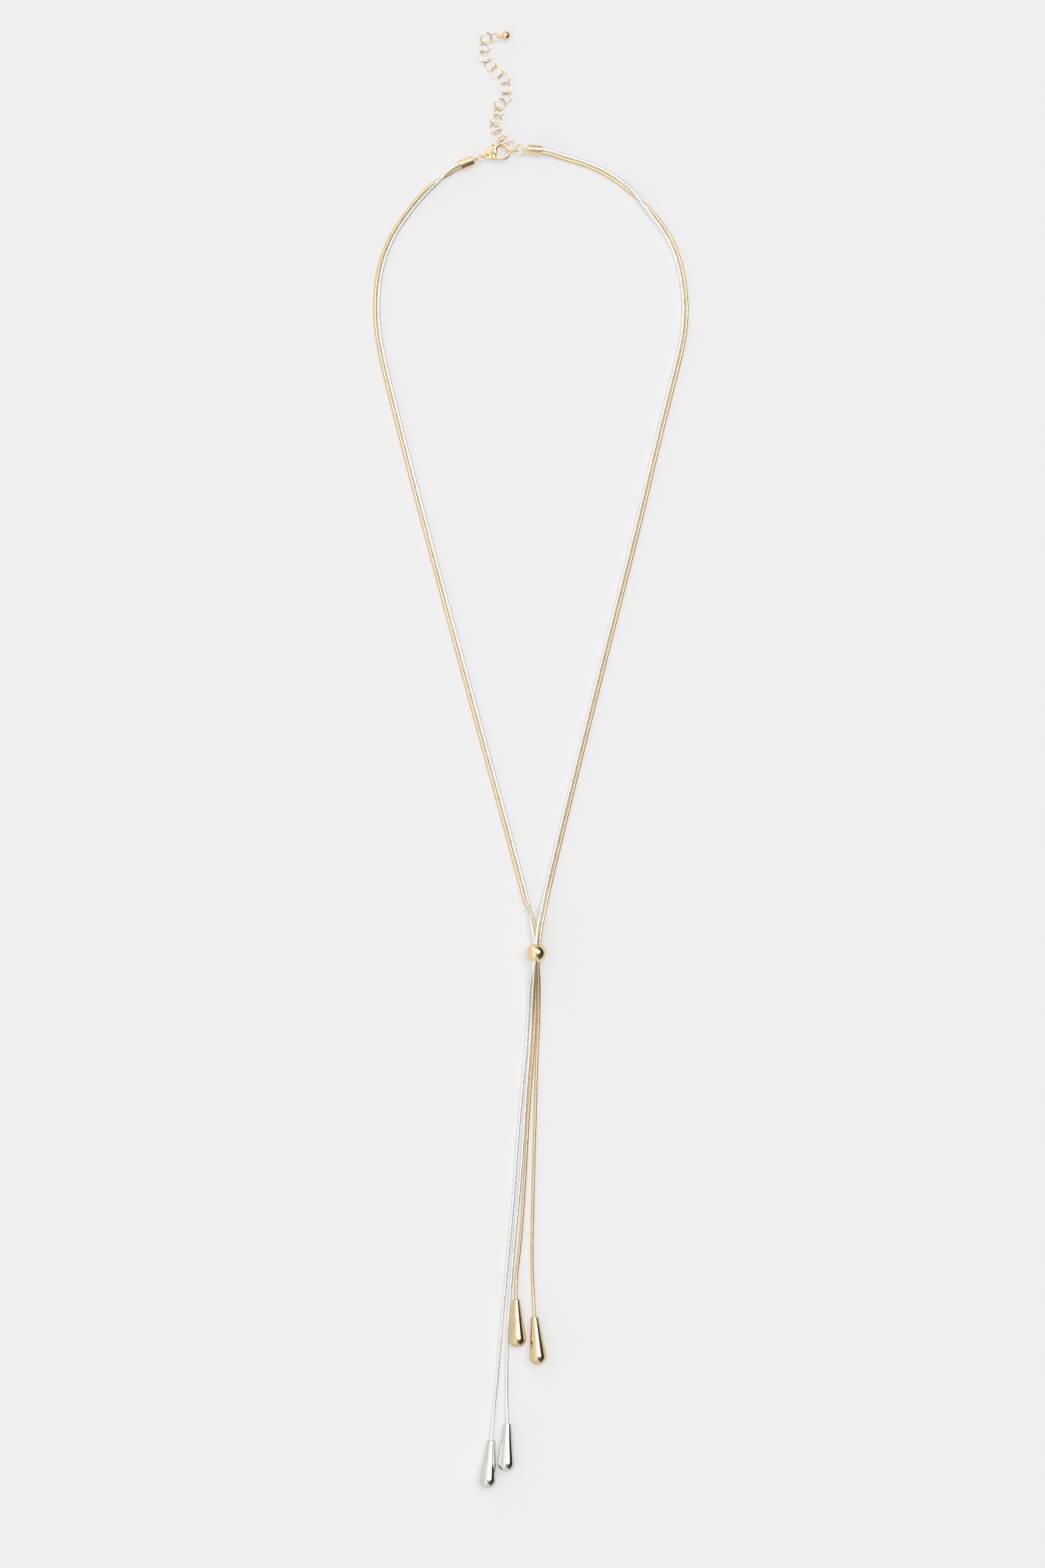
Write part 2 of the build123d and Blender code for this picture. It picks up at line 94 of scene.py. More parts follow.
# Middle line of each pair of chains round the neck, from the cap towards the bead.
# silver_side is the silver chain's place across the pair: +1 on the outer side, -1 on the inner.
# Columns: x, y, silver_side, silver_z, gold_z
LEFT_PAIR = [
    (-32.0, 258.0, 1.0, 2.3, 2.05),
    (-36.3, 255.2, 0.9, 2.35, 0.8),
    (-41.4, 251.3, -0.9, 2.2, 0.7),
    (-46.3, 247.0, -1.0, 1.0, 0.7),
    (-53.2, 238.8, -1.0, 0.7, 0.7),
    (-60.4, 228.4, -1.0, 0.7, 0.7),
    (-65.4, 216.0, -1.0, 0.7, 0.7),
    (-67.3, 202.5, -1.0, 0.7, 0.7),
    (-67.1, 188.6, -1.0, 0.7, 0.7),
    (-64.4, 173.6, -1.0, 0.7, 0.7),
    (-58.6, 150.3, -1.0, 0.7, 0.7),
    (-48.3, 110.5, -1.0, 0.7, 0.7),
    (-34.2, 57.5, -1.0, 0.7, 0.7),
    (-19.5, 3.5, -1.0, 0.7, 0.7),
    (-11.4, -26.0, -1.0, 0.7, 0.7),
    (-6.6, -44.0, -1.0, 0.7, 0.75),
]
RIGHT_PAIR = [
    (6.3, 264.95, 1.0, 2.4, 2.0),
    (12.6, 262.85, 1.0, 1.6, 0.95),
    (22.8, 260.0, 1.0, 0.75, 0.7),
    (30.4, 256.9, 1.0, 0.7, 0.7),
    (37.6, 252.5, 1.0, 0.8, 0.7),
    (43.7, 247.5, 0.9, 2.25, 0.7),
    (51.1, 239.5, -0.9, 2.25, 0.7),
    (57.2, 232.2, -1.0, 0.8, 0.7),
    (63.0, 221.6, -1.0, 0.7, 0.7),
    (66.3, 208.3, -1.0, 0.7, 0.7),
    (67.3, 194.2, -1.0, 0.7, 0.7),
    (65.6, 180.4, -1.0, 0.7, 0.7),
    (61.2, 163.2, -1.0, 0.7, 0.7),
    (54.5, 136.5, -1.0, 0.7, 0.7),
    (46.2, 101.0, -1.0, 0.7, 0.7),
    (32.15, 46.0, -1.0, 0.7, 0.7),
    (18.2, -10.0, -1.0, 0.7, 0.7),
    (11.4, -38.0, -1.0, 0.7, 0.75),
]

# The four chains where they gather, pass through the bead and lie side by side below it.
# Columns: 0 is y, and 1 to 4 are x and z of silver_left, silver_right, gold_left and gold_right
FOUR_CHAINS = [
    (-54.5, (-2.95, 0.75), (6.65, 0.9), (-4.6, 1.1), (8.25, 0.85)),
    (-62.0, (-1.2, 1.1), (4.95, 2.05), (-2.3, 2.6), (6.6, 1.7)),
    (-67.5, (-0.5, 1.9), (3.7, 3.55), (0.6, 3.5), (5.5, 2.85)),
    (-73.0, (0.4, 3.15), (2.6, 4.95), (2.1, 2.85), (4.35, 3.9)),
    (-78.5, (1.68, 3.99), (2.32, 5.35), (3.04, 3.35), (3.68, 4.71)),
    (-88.9, (0.96, 3.99), (1.6, 5.35), (2.32, 3.35), (2.96, 4.71)),
    (-95.5, (-0.25, 2.85), (1.15, 3.75), (2.1, 2.4), (3.5, 3.25)),
    (-104.0, (-0.9, 1.4), (0.6, 1.95), (1.9, 1.1), (3.45, 1.5)),
    (-114.0, (-1.5, 0.7), (0.1, 0.85), (1.7, 0.7), (3.3, 0.7)),
    (-127.0, (-2.4, 0.7), (-0.75, 0.7), (0.85, 0.7), (2.55, 0.7)),
    (-143.0, (-4.0, 0.7), (-2.1, 0.7), (-0.5, 0.7), (2.05, 0.7)),
    (-163.0, (-5.75, 0.7), (-3.35, 0.7), (-1.75, 0.7), (1.5, 0.7)),
    (-184.0, (-7.2, 0.7), (-4.85, 0.7), (-2.85, 0.7), (0.9, 0.7)),
    (-205.0, (-9.05, 0.7), (-6.95, 0.7), (-4.3, 0.7), (0.45, 0.7)),
]

# Each chain's own last stretch on the table, and its drop.
# tail: x, y of each point. drop_neck: x, y of the drop's narrow end. lean: degrees from -Y towards +X
ENDS = {
    "silver_left": {
        "tail": [(-11.3, -228.0), (-13.3, -250.0), (-14.85, -269.0), (-16.6, -285.5)],
        "drop_neck": (-17.3, -295.3),
        "lean": -5.0,
    },
    "silver_right": {
        "tail": [(-8.9, -228.0), (-10.45, -250.0), (-10.6, -267.0), (-10.8, -279.5)],
        "drop_neck": (-10.3, -288.1),
        "lean": -1.8,
    },
    "gold_left": {
        "tail": [(-5.5, -217.0), (-6.7, -226.0)],
        "drop_neck": (-6.55, -234.1),
        "lean": 2.1,
    },
    "gold_right": {
        "tail": [(0.3, -219.0), (0.85, -232.5)],
        "drop_neck": (1.54, -241.7),
        "lean": 4.7,
    },
}

# Extension chain, from the ball end to the clasp: x, y of each link's centre.
# Each link leans to one side of the chain's line by LINK_ROLL, and its neighbours lean to the other.
LINKS = [
    (-19.48, 313.72),
    (-20.0, 310.0),
    (-20.1, 305.9),
    (-17.8, 302.4),
    (-14.8, 299.4),
    (-11.9, 296.3),
    (-11.0, 292.2),
    (-10.7, 288.3),
    (-13.5, 285.2),
    (-14.3, 281.7),
    (-15.2, 278.25),
    (-15.5, 274.95),
    (-13.8, 271.6),
]
LINK_ROLL = 26.0
FLOOR_GAP = 0.02

# The last three links, which the clasp lies over: x, y, z, heading, roll in degrees
CLASP_LINKS = [
    (-11.8, 269.3, 0.96, 90.0, -16.0),
    (-9.4, 267.0, 0.79, -90.0, 12.0),
    (-8.0, 264.95, 2.76, -4.0, 90.0),
]

# Other rings: x, y, z, heading, roll in degrees
END_RING = (-15.95, 314.43, 1.05, 204.4, 20.3)
END_EYE = (-13.73, 314.69, 1.464, 8.6, 90.0)
LEFT_RING_1 = (-22.52, 262.01, 2.3, 28.8, -17.5)
LEFT_RING_2 = (-20.35, 262.66, 2.42, 20.2, 87.7)
RIGHT_RING = (-4.7, 265.4, 2.05, 86.0, -2.5)
END_BALL = (-11.0, 315.1)
CLASP_ORIGIN = (-19.14, 262.9, 2.5)
CLASP_HEADING = 12.6

# Plates of the snake chains. Each plate is one step of the wave along the chain.
# Columns: place in the step, share of the chain's radius
PLATE_STEP = 0.54
PLATE_PROFILE = [(0.0, 0.97), (0.1, 0.992), (0.35, 1.0), (0.72, 0.998), (0.92, 0.984)]
PLATE_WAVE = 0.2
PLATE_TWIST = 0.021
CHAIN_SIDES = 14
LINE_STEPS = 48
SAME_PLACE = 1e-9

# Fineness of the turned pieces, the rings and the clasp
TURNED_SIDES = 96
ARC_STEPS = 24
RING_STEPS = 72
WIRE_SIDES = 18
TIP_ANGLE = 89.5
CAST_VOXEL = 0.07
CAST_SMOOTHING = 10

# Rounded lip of a cap's mouth, and the hair by which a bent ring is open
CAP_LIP = 0.12
RING_CUT = 0.07

# Crown of the clasp's faces: it starts at CROWN_LOW from the middle and is full CROWN_WIDTH from a wall.
# A wall is steeper than WALL_SLOPE and above WALL_LOW, or above SLOT_TOP where the slot for the lever
# runs, which is SLOT_REACH from the tail.
CROWN_LOW = 0.62
CROWN_WIDTH = 1.2
WALL_LOW = 0.45
WALL_SLOPE = 0.5
SLOT_REACH = (1.0, 5.0)
SLOT_TOP = 0.66

# Camera straight above the table, at the photograph's framing
CAMERA_PLACE = (-0.00377, -0.01015, 2.0)
FRAME_HEIGHT = 0.6821
SENSOR_HEIGHT = 36.0


# Routes of the chains

def pair_chain(rows, mouth, silver, outer_sign):
    """Points of one chain of a pair, from inside its cap, set off sideways from the middle line."""
    x, y, angle = mouth
    way_out = Vector((cos(radians(angle)), sin(radians(angle))))
    start = Vector((x, y)) - way_out * CAP_CHAIN_DEPTH
    middles = [start] + [Vector(row[:2]) for row in rows]
    sides = [rows[0][2]] + [row[2] for row in rows]
    heights = [CAP_Z] + [row[3] if silver else row[4] for row in rows]
    points = []
    for i, middle in enumerate(middles):
        if i == 0:
            along = way_out
        elif i == len(middles) - 1:
            along = (middle - middles[i - 1]).normalized()
        else:
            before = (middle - middles[i - 1]).normalized()
            after = (middles[i + 1] - middle).normalized()
            along = (before + after).normalized()
        outward = Vector((along.y, -along.x)) * outer_sign
        shift = sides[i] * PAIR_GAP / 2 * (1 if silver else -1)
        place = middle + outward * shift
        points.append(Vector((place.x, place.y, heights[i])))
    return points


def drop_tilt():
    """Angle between the table and the axis of a drop that lies on its cone's side, in radians."""
    ball_distance = DROP_LENGTH - DROP_BALL_R
    reach = hypot(ball_distance, DROP_NECK_R)
    return asin(DROP_BALL_R / reach) - atan2(DROP_NECK_R, ball_distance)


def drop_neck(end):
    """Centre of a drop's narrow end, and its axis from there to the fat end."""
    tilt = drop_tilt()
    lean = radians(end["lean"])
    axis = Vector((sin(lean) * cos(tilt), -cos(lean) * cos(tilt), sin(tilt)))
    x, y = end["drop_neck"]
    return Vector((x, y, DROP_NECK_R * cos(tilt))), axis


def chain_route(name, column, rows, mouth, outer_sign):
    """All the points of one chain in metres, from inside its cap to inside its drop."""
    points = pair_chain(rows, mouth, name.startswith("silver"), outer_sign)
    for row in FOUR_CHAINS:
        x, z = row[column]
        points.append(Vector((x, row[0], z)))
    end = ENDS[name]
    for x, y in end["tail"]:
        points.append(Vector((x, y, CHAIN_R)))
    neck, axis = drop_neck(end)
    half_way = neck + axis * DROP_CHAIN_DEPTH / 2
    last_way = (half_way - points[-1]).normalized()
    points.append(half_way + last_way * DROP_CHAIN_DEPTH / 2)
    return [point * MM for point in points]


def smooth_line(name, points):
    """Places along a smooth curve that has the route's points as its control points."""
    curve = bpy.data.curves.new(name, "CURVE")
    curve.dimensions = "3D"
    spline = curve.splines.new("NURBS")
    spline.points.add(len(points) - 1)
    for control, point in zip(spline.points, points):
        control.co = (*point, 1.0)
    spline.order_u = 3
    spline.use_endpoint_u = True
    spline.resolution_u = LINE_STEPS
    holder = bpy.data.objects.new(name, curve)
    line = bpy.data.meshes.new_from_object(holder)
    places = np.array([vertex.co for vertex in line.vertices])
    bpy.data.objects.remove(holder)
    bpy.data.curves.remove(curve)
    bpy.data.meshes.remove(line)
    return places


# Meshes

def surface(name, rows, closed=False, edge_angle=40.0):
    """Object with one surface through rows of places. Each row is a closed loop.

    The last row meets the first if closed is true, and otherwise both end rows are filled.
    """
    count, sides = len(rows), len(rows[0])
    places = np.asarray(rows, float).reshape(-1, 3)
    faces = []
    for i in range(count if closed else count - 1):
        here = i * sides
        there = (i + 1) % count * sides
        for k in range(sides):
            m = (k + 1) % sides
            faces.append((here + k, here + m, there + m, there + k))
    if not closed:
        faces.append(tuple(reversed(range(sides))))
        faces.append(tuple(range((count - 1) * sides, count * sides)))
    mesh = bpy.data.meshes.new(name)
    mesh.from_pydata(places.tolist(), [], faces)
    mesh.polygons.foreach_set("use_smooth", [True] * len(faces))
    mesh.set_sharp_from_angle(angle=radians(edge_angle))
    piece = bpy.data.objects.new(name, mesh)
    bpy.context.scene.collection.objects.link(piece)
    return piece


def joined(name, pieces):
    """One object from several that are soldered together."""
    bpy.ops.object.select_all(action="DESELECT")
    for piece in pieces:
        piece.select_set(True)
    bpy.context.view_layer.objects.active = pieces[0]
    bpy.ops.object.join()
    pieces[0].name = name
    return pieces[0]


def axes_for(normal):
    """Two directions that stand square to the normal and to each other."""
    normal = Vector(normal).normalized()
    helper = Vector((1, 0, 0)) if abs(normal.x) < 0.9 else Vector((0, 1, 0))
    first = (helper - normal * helper.dot(normal)).normalized()
    return first, normal.cross(first), normal


def turned(name, profile, origin, axis, closed=False):
    """Object turned about an axis. The profile's points are (radius, distance along the axis), in mm."""
    first, second, along = axes_for(axis)
    origin = Vector(origin)
    rows = []
    for radius, distance in profile:
        row = []
        for k in range(TURNED_SIDES):
            angle = 2 * pi * k / TURNED_SIDES
            out = first * cos(angle) + second * sin(angle)
            row.append((origin + along * distance + out * radius) * MM)
        rows.append(row)
    return surface(name, rows, closed)


def arc(centre, radius, start, end, steps=ARC_STEPS):
    """Points of an arc in a profile, between two angles in degrees."""
    points = []
    for k in range(steps + 1):
        angle = radians(start + (end - start) * k / steps)
        points.append((centre[0] + radius * cos(angle), centre[1] + radius * sin(angle)))
    return points


def lean_normal(heading, roll):
    """Upward normal of a flat ring after a roll about its heading, both in degrees."""
    sideways = Vector((sin(radians(heading)), -cos(radians(heading)), 0))
    return sideways * sin(radians(roll)) + Vector((0, 0, 1)) * cos(radians(roll))


def wire_ring(name, centre, normal, mean_r, wire_d, cut_angle=None):
    """Ring of round wire. With a cut angle it is open there by a hair, as a bent jump ring is."""
    first, second, along = axes_for(normal)
    centre = Vector(centre)
    open_by = 0 if cut_angle is None else RING_CUT / mean_r
    start = radians(cut_angle or 0.0) + open_by / 2
    count = RING_STEPS if cut_angle is None else RING_STEPS + 1
    rows = []
    for i in range(count):
        angle = start + (2 * pi - open_by) * i / RING_STEPS
        out = first * cos(angle) + second * sin(angle)
        row = []
        for k in range(WIRE_SIDES):
            turn = 2 * pi * k / WIRE_SIDES
            place = centre + out * (mean_r + wire_d / 2 * cos(turn)) + along * (wire_d / 2 * sin(turn))
            row.append(place * MM)
        rows.append(row)
    return surface(name, rows, closed=cut_angle is None)


def sampled(at, reached, values):
    """Values of a line's points at other distances along the line."""
    return np.stack([np.interp(at, reached, values[:, k]) for k in range(3)], axis=1)


def snake_chain(name, places):
    """Tube of overlapping wavy plates along a line, with a groove attribute for the painted shade between
    its plates.
    """
    steps = np.linalg.norm(np.diff(places, axis=0), axis=1)
    places = places[np.concatenate([[True], steps > SAME_PLACE])]
    steps = np.linalg.norm(np.diff(places, axis=0), axis=1)
    reached = np.concatenate([[0.0], np.cumsum(steps)])
    length = reached[-1]
    along = np.gradient(places, reached, axis=0)
    along /= np.linalg.norm(along, axis=1)[:, None]
    across = np.cross(along, (0, 0, 1))
    across /= np.linalg.norm(across, axis=1)[:, None]
    upward = np.cross(across, along)

    plates = round(length / (PLATE_STEP * MM))
    step = length / plates
    turns = 2 * pi * np.arange(CHAIN_SIDES) / CHAIN_SIDES
    rows = []
    depths = []
    for plate in range(plates):
        wave = PLATE_WAVE if plate % 2 else -PLATE_WAVE
        for place, share in PLATE_PROFILE:
            twist = PLATE_TWIST * plate
            shift = wave * np.cos(2 * turns + twist)
            at = np.clip((plate + place + shift) * step, 0, length)
            side = sampled(at, reached, across)
            up = sampled(at, reached, upward)
            out = side * np.cos(turns)[:, None] + up * np.sin(turns)[:, None]
            rows.append(sampled(at, reached, places) + out * (share * CHAIN_R * MM))
            depths += [share] * CHAIN_SIDES
    piece = surface(name, rows, edge_angle=35.0)
    # How deep each place lies between the plates: the material paints shade with it
    groove_shade = piece.data.attributes.new("groove_shade", "FLOAT", "POINT")
    deepest = min(share for place, share in PLATE_PROFILE)
    groove_shade.data.foreach_set("value", [(1 - share) / (1 - deepest) for share in depths])
    return piece


# Node trees

class Tree:
    """Short calls for building a tree of shader nodes."""

    def __init__(self, owner):
        owner.use_nodes = True
        self.nodes = owner.node_tree.nodes
        self.links = owner.node_tree.links
        self.nodes.clear()

    def add(self, kind, settings=None, **inputs):
        """Node with its settings and inputs. An input is a value or another node's output.

        An input is named with _ for a space, or as i and its number.
        """
        node = self.nodes.new(kind)
        for name, value in (settings or {}).items():
            setattr(node, name, value)
        for name, value in inputs.items():
            if name[0] == "i" and name[1:].isdigit():
                socket = node.inputs[int(name[1:])]
            else:
                socket = node.inputs[name.replace("_", " ")]
            if isinstance(value, bpy.types.NodeSocket):
                self.links.new(value, socket)
            else:
                socket.default_value = value
        return node

    def spread(self, value, low, high, to_low=0.0, to_high=1.0):
        """Value taken smoothly from one range to another."""
        node = self.add("ShaderNodeMapRange", {"interpolation_type": "SMOOTHSTEP"},
                        Value=value, From_Min=low, From_Max=high, To_Min=to_low, To_Max=to_high)
        return node.outputs["Result"]

    def spread_linear(self, value, low, high):
        """Value taken evenly from one range to 0 and 1."""
        node = self.add("ShaderNodeMapRange", Value=value, From_Min=low, From_Max=high)
        return node.outputs["Result"]

    def calculated(self, operation, first, second=0.0):
        """Result of one math operation."""
        node = self.add("ShaderNodeMath", {"operation": operation}, i0=first, i1=second)
        return node.outputs[0]

    def mixed(self, share, first, second):
        """Value between two others."""
        node = self.add("ShaderNodeMix", {"data_type": "FLOAT"}, i0=share, i2=first, i3=second)
        return node.outputs[0]

    def mixed_colour(self, share, first, second):
        """Colour between two others."""
        node = self.add("ShaderNodeMix", {"data_type": "RGBA"}, i0=share, i6=first, i7=second)
        return node.outputs["Result"]

    def dot(self, first, second):
        node = self.add("ShaderNodeVectorMath", {"operation": "DOT_PRODUCT"}, i0=first, i1=second)
        return node.outputs["Value"]

    def noise(self, vector, scale, detail=3.0):
        node = self.add("ShaderNodeTexNoise", Vector=vector, Scale=scale, Detail=detail)
        return node.outputs["Fac"]

    def end(self, kind, shader):
        """Joins the shader to the tree's output node."""
        output = self.add(kind)
        self.links.new(shader.outputs[0], output.inputs["Surface"])


# Finishes

GOLD = (0.90, 0.715, 0.435)
GOLD_DEEP = (0.86, 0.655, 0.37)
GOLD_DROP = (0.735, 0.58, 0.35)
GOLD_DROP_DEEP = (0.69, 0.53, 0.30)
SILVER = (0.72, 0.72, 0.67)
SILVER_DEEP = (0.64, 0.64, 0.59)
GOLD_CHAIN = (0.82, 0.625, 0.36)
GOLD_CHAIN_DEEP = (0.74, 0.54, 0.29)
# Painted shade in the grooves between the plates of the gold snake chain
GOLD_GROOVE_SHADE = (0.50, 0.34, 0.16)
SILVER_CHAIN = (0.90, 0.905, 0.87)
SILVER_CHAIN_DEEP = (0.80, 0.80, 0.76)
# Painted shade in the grooves between the plates of the silver snake chain
SILVER_GROOVE_SHADE = (0.62, 0.62, 0.58)
POLISH_ROUGHNESS = 0.07
GOLD_CHAIN_ROUGHNESS = 0.2
SILVER_CHAIN_ROUGHNESS = 0.26

# Polished plating. A scale is the number of noise cells in a metre, and a relief is in metres.
PATCH_SCALE = 260.0
PATCH_RANGE = (0.35, 0.7)
SMUDGE_SCALE = 700.0
SMUDGE_DETAIL = 5.0
HAIRLINE_SCALES = (9000.0, 1500.0, 9000.0)
HAIRLINE_HEIGHT = 0.06
WORN_RANGE = (0.12, 0.45)
WORN_ROUGHNESS = (0.7, 1.6)
RIPPLE_SCALE = 420.0
POLISH_BUMP = 0.35
POLISH_RELIEF = 0.00003

# Plates of the snake chains
PLATE_PATCH_SCALE = 500.0
PLATE_PATCH_RANGE = (0.3, 0.7)
# Groove depths over which the painted shade between the plates comes in
GROOVE_SHADE_RANGE = (0.25, 1.0)
PLATE_WORN_SCALE = 1800.0
PLATE_WORN_RANGE = (0.3, 0.7)
PLATE_WORN_ROUGHNESS = (0.8, 1.3)
PLATE_GRAIN_SCALE = 2600.0
PLATE_BUMP = 0.3
PLATE_RELIEF = 0.00002


def colour(rgb):
    return (*rgb, 1.0)


def polished_metal(name, tone, deep_tone):
    """Bright plating: patches of two close tones, fine hairlines and a very slight waviness."""
    material = bpy.data.materials.new(name)
    tree = Tree(material)
    place = tree.add("ShaderNodeTexCoord").outputs["Object"]
    patches = tree.spread(tree.noise(place, PATCH_SCALE), *PATCH_RANGE)
    tones = tree.mixed_colour(patches, colour(tone), colour(deep_tone))
    smudges = tree.noise(place, SMUDGE_SCALE, SMUDGE_DETAIL)
    hairlines = tree.add("ShaderNodeMapping", Vector=place, Scale=HAIRLINE_SCALES).outputs[0]
    lines = tree.noise(hairlines, 1.0, detail=2.0)
    worn = tree.calculated("MULTIPLY", smudges, lines)
    least, most = WORN_ROUGHNESS
    rough = tree.spread(worn, *WORN_RANGE, POLISH_ROUGHNESS * least, POLISH_ROUGHNESS * most)
    ripple = tree.noise(place, RIPPLE_SCALE, detail=1.0)
    relief = tree.calculated("ADD", ripple, tree.calculated("MULTIPLY", lines, HAIRLINE_HEIGHT))
    bump = tree.add("ShaderNodeBump", Strength=POLISH_BUMP, Distance=POLISH_RELIEF, Height=relief)
    shader = tree.add("ShaderNodeBsdfPrincipled", Metallic=1.0, Base_Color=tones, Roughness=rough,
                      Normal=bump.outputs[0])
    tree.end("ShaderNodeOutputMaterial", shader)
    return material


def snake_metal(name, tone, deep_tone, groove_shade_tone, roughness):
    """Plating of the chain's plates, with painted shade where the plates overlap."""
    material = bpy.data.materials.new(name)
    tree = Tree(material)
    place = tree.add("ShaderNodeTexCoord").outputs["Object"]
    groove_shade = tree.add("ShaderNodeAttribute", {"attribute_name": "groove_shade"}).outputs["Fac"]
    patches = tree.spread(tree.noise(place, PLATE_PATCH_SCALE), *PLATE_PATCH_RANGE)
    tones = tree.mixed_colour(patches, colour(tone), colour(deep_tone))
    # Painted shade: the base colour darkens to the groove tone in the grooves between the plates
    shaded = tree.mixed_colour(tree.spread(groove_shade, *GROOVE_SHADE_RANGE), tones, colour(groove_shade_tone))
    least, most = PLATE_WORN_ROUGHNESS
    worn = tree.noise(place, PLATE_WORN_SCALE)
    rough = tree.spread(worn, *PLATE_WORN_RANGE, roughness * least, roughness * most)
    grain = tree.noise(place, PLATE_GRAIN_SCALE, detail=2.0)
    bump = tree.add("ShaderNodeBump", Strength=PLATE_BUMP, Distance=PLATE_RELIEF, Height=grain)
    shader = tree.add("ShaderNodeBsdfPrincipled", Metallic=1.0, Base_Color=shaded, Roughness=rough,
                      Normal=bump.outputs[0])
    tree.end("ShaderNodeOutputMaterial", shader)
    return material


# Camera, table and light

def make_camera():
    data = bpy.data.cameras.new("photo_camera")
    data.sensor_fit = "VERTICAL"
    data.sensor_height = SENSOR_HEIGHT
    data.lens = SENSOR_HEIGHT * CAMERA_PLACE[2] / FRAME_HEIGHT
    data.clip_start = 0.01
    data.clip_end = 50.0
    camera = bpy.data.objects.new("photo_camera", data)
    camera.location = CAMERA_PLACE
    bpy.context.scene.collection.objects.link(camera)
    bpy.context.scene.camera = camera


# Table. It glows, as a light table does, so the shadows on it stay faint.
FLOOR_SIZE = 12.0
FLOOR_TONE = 0.3
FLOOR_GLOW = 0.5
FLOOR_SPECULAR = 0.15
FLOOR_MOTTLE_SCALE = 40.0
FLOOR_MOTTLE_RANGE = (0.3, 0.7)
FLOOR_ROUGHNESS = (0.75, 0.9)


def make_floor():
    """Wide white table with a faint unevenness."""
    bpy.ops.mesh.primitive_plane_add(size=FLOOR_SIZE)
    floor = bpy.context.object
    floor.name = "table_top"
    material = bpy.data.materials.new("table_white")
    tree = Tree(material)
    place = tree.add("ShaderNodeTexCoord").outputs["Object"]
    mottle = tree.noise(place, FLOOR_MOTTLE_SCALE)
    rough = tree.spread(mottle, *FLOOR_MOTTLE_RANGE, *FLOOR_ROUGHNESS)
    shader = tree.add("ShaderNodeBsdfPrincipled", Base_Color=colour((FLOOR_TONE,) * 3), Roughness=rough,
                      Specular_IOR_Level=FLOOR_SPECULAR, Emission_Color=colour((1.0, 1.0, 1.0)),
                      Emission_Strength=FLOOR_GLOW)
    tree.end("ShaderNodeOutputMaterial", shader)
    floor.data.materials.append(material)


# Light of the studio by direction. Left and right are along X, the far side is +Y.
# Columns: how far right a direction points, from -1 to 1, and its brightness
LEFT_TO_RIGHT = [
    (-1.0, 1.0),
    (-0.85, 0.88),
    (-0.60, 1.05),
    (-0.44, 1.32),
    (-0.28, 1.32),
    (-0.18, 0.9),
    (-0.06, 0.6),
    (0.10, 0.36),
    (0.30, 0.17),
    (0.50, 0.11),
    (0.80, 0.09),
    (0.93, 0.035),
    (1.0, 0.01),
]
BRIGHTEST = 1.35
BACKGROUND = 0.86

# Three parts of the light that cover the table above. Each pair is where a part starts and where it
# is full: far is how far up the picture a direction points, and across how far right.
NEAR_SIDE = 0.85
NEAR_FAR = (-0.72, -0.84)
NEAR_ACROSS = (0.42, 0.22)
FAR_SIDE = 0.5
FAR_FAR = (0.9, 0.97)
FAR_ACROSS = (0.5, 0.2)
CARD = 1.25
CARD_FAR_LOW = (0.14, 0.22)
CARD_FAR_HIGH = (0.9, 0.82)
CARD_ACROSS = (0.22, 0.06)

# Softbox above: a square that stands on its corner
KEY_DIRECTION = (0.33, 0.28, 0.90)
KEY_HALF_SIDE = 0.28
KEY_EDGE = 0.05
KEY_BRIGHTNESS = 5.0


def make_light():
    """Studio as seen by the metal: a white card on the left, dark on the right, a softbox above."""
    world = bpy.data.worlds.new("studio")
    bpy.context.scene.world = world
    tree = Tree(world)
    way = tree.add("ShaderNodeTexCoord").outputs["Generated"]
    parts = tree.add("ShaderNodeSeparateXYZ", Vector=way)
    right, far = parts.outputs[0], parts.outputs[1]

    ramp = tree.add("ShaderNodeValToRGB", Fac=tree.spread_linear(right, -1.0, 1.0))
    stops = ramp.color_ramp.elements
    for place, brightness in LEFT_TO_RIGHT[1:-1]:
        stops.new((place + 1) / 2)
    for stop, (place, brightness) in zip(stops, LEFT_TO_RIGHT):
        share = brightness / BRIGHTEST
        stop.color = (share, share, share, 1.0)
    sides = tree.calculated("MULTIPLY", ramp.outputs["Color"], BRIGHTEST)

    near = tree.calculated("MULTIPLY", tree.spread(far, *NEAR_FAR), tree.spread(right, *NEAR_ACROSS))
    away = tree.calculated("MULTIPLY", tree.spread(far, *FAR_FAR), tree.spread(right, *FAR_ACROSS))
    middle = tree.spread(tree.calculated("ABSOLUTE", right), *CARD_ACROSS)
    card = tree.calculated("MULTIPLY", tree.spread(far, *CARD_FAR_LOW), tree.spread(far, *CARD_FAR_HIGH))
    card = tree.calculated("MULTIPLY", card, middle)
    light = tree.mixed(near, sides, NEAR_SIDE)
    light = tree.mixed(away, light, FAR_SIDE)
    light = tree.mixed(card, light, CARD)

    first, second, key_way = axes_for(KEY_DIRECTION)
    slant_1 = tree.calculated("ABSOLUTE", tree.dot(way, (first + second).normalized()))
    slant_2 = tree.calculated("ABSOLUTE", tree.dot(way, (first - second).normalized()))
    off_centre = tree.calculated("MAXIMUM", slant_1, slant_2)
    in_box = tree.spread(off_centre, KEY_HALF_SIDE + KEY_EDGE, KEY_HALF_SIDE)
    in_front = tree.calculated("GREATER_THAN", tree.dot(way, key_way), 0.0)
    key = tree.calculated("MULTIPLY", tree.calculated("MULTIPLY", in_box, in_front), KEY_BRIGHTNESS)
    light = tree.calculated("ADD", light, key)

    seen = tree.add("ShaderNodeLightPath").outputs["Is Camera Ray"]
    background = tree.add("ShaderNodeBackground", Color=tree.mixed(seen, light, BACKGROUND), Strength=1.0)
    tree.end("ShaderNodeOutputWorld", background)


# The scene

bpy.context.scene.view_settings.view_transform = "Standard"
bpy.context.scene.view_settings.look = "None"
make_camera()
make_floor()
make_light()

